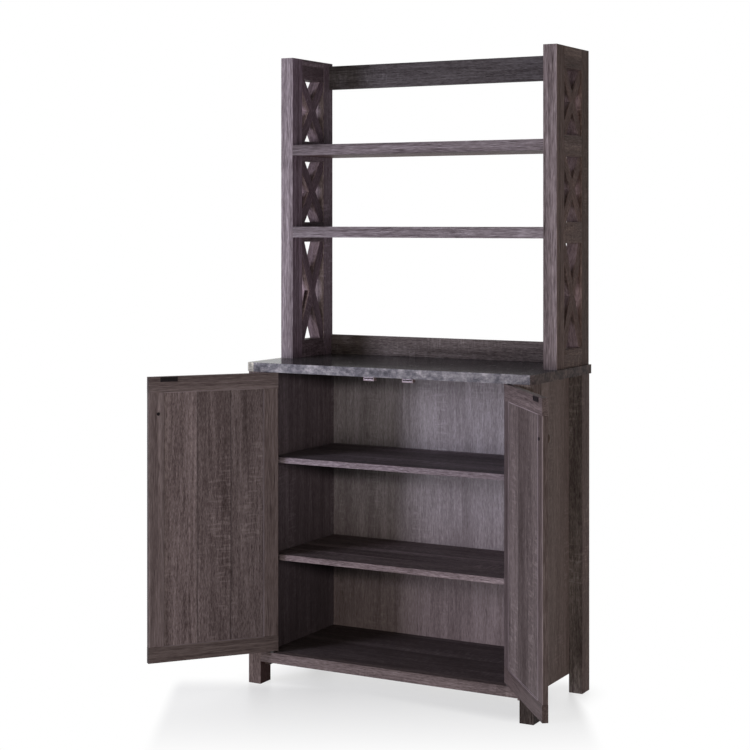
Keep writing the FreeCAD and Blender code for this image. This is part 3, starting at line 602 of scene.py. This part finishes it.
def metal(name, shade, roughness):
    """Bare metal with a fine mottle."""
    recipe = new_material(name)
    mottle = recipe.noise(recipe.place(), METAL_MOTTLE, detail=3.0, roughness=0.6)
    return recipe.finish(
        Base_Color=recipe.mix(mottle, toned(shade, METAL_DARK), shade),
        Metallic=1.0,
        Roughness=recipe.between(mottle, *NOISE_SPAN, roughness - 0.06, roughness + 0.08),
        Normal=recipe.bump(mottle, distance=0.00005, strength=0.4),
    )


def painted(name, shade, roughness):
    """Satin paint over metal, with a faint orange-peel surface."""
    recipe = new_material(name)
    peel = recipe.noise(recipe.place(), PAINT_PEEL)
    patches = recipe.noise(recipe.place(), PAINT_PATCHES, detail=4.0, roughness=0.6)
    worn = recipe.between(patches, *PAINT_WORN_SPAN)
    return recipe.finish(
        Base_Color=recipe.mix(worn, shade, toned(shade, PAINT_WORN)),
        Roughness=recipe.between(patches, *NOISE_SPAN, roughness, roughness + 0.12),
        Specular_IOR_Level=PAINT_SHINE,
        Normal=recipe.bump(peel, distance=0.00006, strength=0.5),
    )


def moulded(name, shade, roughness):
    """Moulded plastic with a fine grain."""
    recipe = new_material(name)
    grain = recipe.noise(recipe.place(), PLASTIC_GRAIN)
    patches = recipe.noise(recipe.place(), PLASTIC_PATCHES)
    return recipe.finish(
        Base_Color=recipe.mix(patches, toned(shade, PLASTIC_DARK), shade),
        Roughness=recipe.between(grain, *NOISE_SPAN, roughness, roughness + 0.1),
        Normal=recipe.bump(grain, distance=0.00004, strength=0.5),
    )


# Boards: those with the grain across the cabinet, and how light each board is against the plain wood, as
# one number or by channel.

ALONG_X = (
    "front_bottom_rail", "bottom_panel", "lower_base_shelf", "upper_base_shelf", "hutch_lower_shelf",
    "hutch_upper_shelf", "hutch_top_back_rail", "hutch_low_back_rail",
)
SIDE_RAILS = ("top_rail", "upper_rail", "lower_rail", "bottom_rail")
CROSSES = ("high_cross", "middle_cross", "low_cross")
# These tones are partly the boards' own and partly painted light and shade, for how the light falls on each
# board.
BOARD_TONES_AND_LIGHT = {
    "left_hutch_front_post": (1.36, 1.44, 1.51),
    "right_hutch_front_post": 0.80,
    "right_hutch_rear_post": (0.82, 0.72, 0.65),
    "hutch_top_back_rail": (0.42, 0.46, 0.465),
    "hutch_low_back_rail": (0.85, 0.89, 0.835),
    "hutch_upper_shelf": (1.11, 1.18, 1.23),
    "hutch_lower_shelf": (1.10, 1.18, 1.23),
    "left_door_top_rail": (0.90, 0.89, 0.86),
    "left_door_bottom_rail": (0.62, 0.60, 0.56),
    "left_door_hinge_stile": (0.87, 0.85, 0.81),
    "left_door_latch_stile": (1.05, 1.04, 1.01),
    "left_door_panel": (0.91, 0.89, 0.87),
    "right_door_panel": (0.69, 0.69, 0.65),
    "right_door_hinge_stile": (0.55, 0.53, 0.52),
    "right_door_latch_stile": (0.74, 0.72, 0.68),
    "right_door_top_rail": (0.82, 0.80, 0.77),
    "right_door_bottom_rail": (0.56, 0.53, 0.50),
    "front_bottom_rail": (0.60, 0.58, 0.55),
    "back_panel": (1.29, 1.40, 1.44),
    "left_side_panel": (1.16, 1.08, 0.98),
    "right_side_panel": (1.47, 1.47, 1.42),
    "upper_base_shelf": (0.98, 1.02, 1.09),
    "bottom_panel": 0.54,
    "front_left_leg": (1.18, 1.16, 1.06),
    "front_right_leg": (0.78, 0.70, 0.66),
    "rear_right_leg": (1.08, 0.99, 0.94),
}

# Painted light and shade: some faces of boards are lighter, darker or tinted, to stand in for how the light
# falls on them.
FACE_LIGHT_AND_SHADE = {
    "rear_right_leg": {"front": (1.18, 1.38, 1.38)},
    "front_right_leg": {"front": (1.42, 1.57, 1.45)},
    "front_left_leg": {"right": (0.33, 0.21, 0.22)},
    "left_side_panel": {"right": (0.92, 1.02, 1.27)},
    "left_hutch_front_post": {"right": (0.90, 0.80, 1.02)},
    "left_hutch_rear_post": {"right": (1.00, 0.95, 1.20), "front": 1.4},
    "right_hutch_rear_post": {"front": 1.6},
    "right_hutch_front_post": {"right": (1.25, 1.12, 1.04)},
    "upper_base_shelf": {"front": 1.38},
    "lower_base_shelf": {"front": 1.22},
    "hutch_upper_shelf": {"under": (0.87, 0.655, 0.63)},
    "hutch_lower_shelf": {"under": (0.87, 0.655, 0.63)},
}
for rail in SIDE_RAILS:
    BOARD_TONES_AND_LIGHT["left_hutch_" + rail] = (0.95, 0.93, 0.95)
    BOARD_TONES_AND_LIGHT["right_hutch_" + rail] = (0.92, 0.83, 0.77)
    FACE_LIGHT_AND_SHADE["left_hutch_" + rail] = {"right": (0.95, 0.92, 1.10)}
for cross in CROSSES:
    BOARD_TONES_AND_LIGHT["left_" + cross] = (1.06, 1.00, 1.04)
    BOARD_TONES_AND_LIGHT["right_" + cross] = (0.88, 0.80, 0.76)
    FACE_LIGHT_AND_SHADE["left_" + cross] = {"right": (0.78, 0.73, 0.92)}
    FACE_LIGHT_AND_SHADE["right_" + cross] = {"right": (1.00, 0.93, 0.90)}

# Painted shade: some boards are darker at their foot than at their top, changing between these heights.
FADE_LOW = 0.1
FADE_HIGH = 0.62
PAINTED_FOOT_SHADE = {
    "back_panel": ((0.765, 0.70, 0.665), (1.18, 1.23, 1.24)),
    "left_side_panel": (0.55, 1.0),
    "front_right_leg": (0.24, 1.0),
}

# How strong the grain is.
PLAIN_CONTRAST = 1.15
DOOR_CONTRAST = 0.95
PANEL_CONTRAST = 1.25
SMOOTH_CONTRAST = 1.4
CONTRASTS = {"back_panel": 0.68, "left_side_panel": 0.8, "right_side_panel": 0.65}
SMOOTH = ("left_hutch_front_post", "right_hutch_front_post", "hutch_upper_shelf", "hutch_lower_shelf")


def door_wood(node, seed, tone, body):
    joint = joints[body]
    panel = node.endswith("_panel")
    grain = "x" if node.endswith("_rail") else "z"
    return wood(
        "wood_" + node,
        seed,
        tone,
        PANEL_CONTRAST if panel else DOOR_CONTRAST,
        place=lambda recipe: door_place(recipe, joint, grain),
        smooth=not panel,
        edge_light_and_shade=lambda recipe: door_highlights(recipe, node, body, joint),
        planking=(lambda recipe: panel_planks(recipe, body, joint)) if panel else None,
    )


def cross_wood(node, seed, tone):
    return wood(
        "wood_" + node,
        seed,
        tone,
        PLAIN_CONTRAST,
        place=lambda recipe: cross_place(recipe, node),
        faces=FACE_LIGHT_AND_SHADE.get(node),
        shade=lambda recipe: reveal_light(recipe, node),
    )


def board_wood(node, seed, tone):
    if node in ALONG_X:
        grain = "x"
    elif "_hutch_" in node and node.endswith("_rail"):
        grain = "y"
    else:
        grain = "z"
    smooth = node in SMOOTH
    return wood(
        "wood_" + node,
        seed,
        tone,
        SMOOTH_CONTRAST if smooth else CONTRASTS.get(node, PLAIN_CONTRAST),
        place=lambda recipe: grain_place(recipe, grain),
        smooth=smooth,
        faces=FACE_LIGHT_AND_SHADE.get(node),
        fade=PAINTED_FOOT_SHADE.get(node),
        shade=(lambda recipe: cover_shade(recipe, node)) if node in INNER_SIDES else None,
    )


def wood_for(node, seed):
    """The wood of a board. Each board has its own seed, so that no two look alike."""
    tone = BOARD_TONES_AND_LIGHT.get(node, 1.0)
    body = nodes[node]["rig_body"]
    if body in joints:
        return door_wood(node, seed, tone, body)
    if node.endswith("_cross"):
        return cross_wood(node, seed, tone)
    return board_wood(node, seed, tone)


# Edges are rounded by the record's material slots: the radius, and the segments of the round.

EDGE_ROUNDS = {
    "grey_wood": (0.0011, 3),
    "counter_laminate": (0.0025, 3),
    "strike_steel": (0.0003, 2),
    "catch_plastic": (0.0003, 2),
}
WELD_REACH = 0.00001
ROUND_ANGLE = math.radians(40)


def round_edges(node, radius, segments):
    """Ease a piece's sharp edges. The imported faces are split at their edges, so they are welded first."""
    weld = nodes[node].modifiers.new("weld", "WELD")
    weld.merge_threshold = WELD_REACH
    bevel = nodes[node].modifiers.new("round", "BEVEL")
    bevel.width = radius
    bevel.segments = segments
    bevel.limit_method = "ANGLE"
    bevel.angle_limit = ROUND_ANGLE
    bevel.use_clamp_overlap = True


def dress_nodes():
    shared = {
        "counter_laminate": counter_stone(),
        "steel": metal("zinc_steel", colour(112, 103, 106), roughness=0.45),
        "strike_steel": painted("strike_black", colour(27, 22, 24), roughness=0.45),
        "knob_metal": painted("knob_bronze", colour(112, 98, 92), roughness=0.4),
        "catch_plastic": moulded("catch_plastic", colour(134, 118, 120), roughness=0.5),
        "nylon": moulded("bush_nylon", colour(34, 29, 28), roughness=0.45),
        "magnet_ferrite": painted("magnet_ferrite", colour(46, 40, 41), roughness=0.6),
    }
    slots = {part["node"]: part["material_slot"] for part in frame["record"]["subparts"]}
    for seed, node in enumerate(sorted(nodes), start=1):
        slot = slots[node]
        if slot in ("grey_wood", "dowel_wood"):
            material = wood_for(node, seed)
        elif node.endswith("_screws"):
            material = shared["strike_steel"]
        else:
            material = shared[slot]
        nodes[node].data.materials.clear()
        nodes[node].data.materials.append(material)
        if slot in EDGE_ROUNDS:
            round_edges(node, *EDGE_ROUNDS[slot])


def shown(recipe):
    """1 for a ray from the camera or from a glossy or clear surface, and 0 for light on the cabinet."""
    rays = recipe.add("LightPath").outputs
    seen = recipe.math("ADD", rays["Is Camera Ray"], rays["Is Glossy Ray"])
    return recipe.math("MINIMUM", recipe.math("ADD", seen, rays["Is Transmission Ray"]), 1.0)


def near_cabinet(recipe):
    """1 on the floor under the cabinet, fading out round it and along a band towards the camera."""
    place = recipe.place()
    away = recipe.vector("SUBTRACT", recipe.vector("ABSOLUTE", place), FOOT_HALF)
    away = recipe.number("LENGTH", recipe.vector("MAXIMUM", away, (0, 0, 0)))
    under = recipe.between(away, 0.0, FOOT_REACH, 1.0, 0.0)
    ahead = recipe.number("DOT_PRODUCT", place, (-math.sin(CAMERA_TURN), math.cos(CAMERA_TURN), 0))
    across = recipe.number("DOT_PRODUCT", place, (math.cos(CAMERA_TURN), math.sin(CAMERA_TURN), 0))
    off_middle = recipe.math("ABSOLUTE", recipe.math("SUBTRACT", across, BAND_MIDDLE))
    band = recipe.between(ahead, BAND_NEAR, BAND_FULL, smooth=False)
    band = recipe.math("MULTIPLY", band, recipe.between(ahead, BAND_FULL, BAND_END, 1.0, 0.0))
    in_width = recipe.between(off_middle, BAND_HALF - BAND_SOFT, BAND_HALF, 1.0, 0.0)
    return recipe.math("MAXIMUM", under, recipe.math("MULTIPLY", band, in_width))


def floor_paint():
    """Pale matt floor that is white to the camera, but for a shadow and reflection near the cabinet."""
    recipe = new_material("floor")
    near = near_cabinet(recipe)
    matt = recipe.add("BsdfDiffuse", {"Color": FLOOR_GREY}).outputs[0]
    gloss = recipe.add("BsdfGlossy", {"Color": WHITE, "Roughness": REFLECTION_BLUR}).outputs[0]
    seen = recipe.add("Emission", {"Color": WHITE, "Strength": 1.0}).outputs[0]
    for layer, share in ((matt, SHADE_SHARE), (gloss, REFLECTION_SHARE)):
        amount = recipe.math("MULTIPLY", near, share)
        seen = recipe.add("MixShader", {0: amount, 1: seen, 2: layer}).outputs[0]
    surface = recipe.tree.nodes["Material Output"].inputs["Surface"]
    recipe.put(surface, recipe.add("MixShader", {0: shown(recipe), 1: matt, 2: seen}).outputs[0])
    return recipe.owner


def make_floor():
    bpy.ops.mesh.primitive_plane_add(size=FLOOR_SIZE)
    floor = bpy.context.object
    floor.name = "floor"
    floor.data.materials.append(floor_paint())


def make_world():
    """A white background that lights the cabinet only a little."""
    scene.world = bpy.data.worlds.new("studio")
    recipe = Recipe(scene.world)
    background = recipe.tree.nodes["Background"].inputs
    recipe.put(background["Color"], WHITE)
    recipe.put(background["Strength"], recipe.between(shown(recipe), 0.0, 1.0, AMBIENT, 1.0, smooth=False))


def soft_box(name, azimuth, height, width, tall, watts, tint, glint=True):
    """A soft box at an azimuth in degrees, where 0 is straight in front and -90 is on the cabinet's left.

    One without a glint isn't seen in glossy surfaces.
    """
    lamp = bpy.data.lights.new(name, "AREA")
    lamp.shape = "RECTANGLE"
    lamp.size = width
    lamp.size_y = tall
    lamp.energy = watts
    lamp.color = tint
    stand = bpy.data.objects.new(name, lamp)
    stand.visible_glossy = glint
    scene.collection.objects.link(stand)
    turn = math.radians(azimuth)
    stand.location = (STUDIO_DISTANCE * math.sin(turn), -STUDIO_DISTANCE * math.cos(turn), height)
    stand.rotation_euler = (STUDIO_AIM - stand.location).to_track_quat("-Z", "Y").to_euler()


def make_lights():
    soft_box("key", azimuth=-36, height=1.1, width=1.1, tall=1.7, watts=122, tint=COOL)
    soft_box("front_fill", azimuth=10, height=0.5, width=1.2, tall=0.9, watts=34, tint=PLAIN)
    soft_box("right_fill", azimuth=46, height=0.8, width=1.4, tall=1.2, watts=16, tint=WARM)
    soft_box("back_fill", azimuth=-167, height=1.9, width=1.2, tall=1.6, watts=60, tint=PLAIN, glint=False)
    soft_box("side_fill", azimuth=80, height=0.8, width=1.2, tall=1.2, watts=6, tint=WARM)


def make_camera():
    lens = bpy.data.cameras.new("camera")
    lens.sensor_width = SENSOR_MM
    lens.lens = SENSOR_MM * FOCAL_PIXELS / PHOTO_PIXELS
    lens.shift_y = (HORIZON_ROW - PHOTO_PIXELS / 2) / PHOTO_PIXELS
    camera = bpy.data.objects.new("camera", lens)
    scene.collection.objects.link(camera)
    camera.location = CAMERA_PLACE
    camera.rotation_euler = (math.pi / 2, 0, CAMERA_TURN)
    scene.camera = camera


dress_nodes()
make_floor()
make_world()
make_lights()
make_camera()
scene.view_settings.view_transform = "Standard"
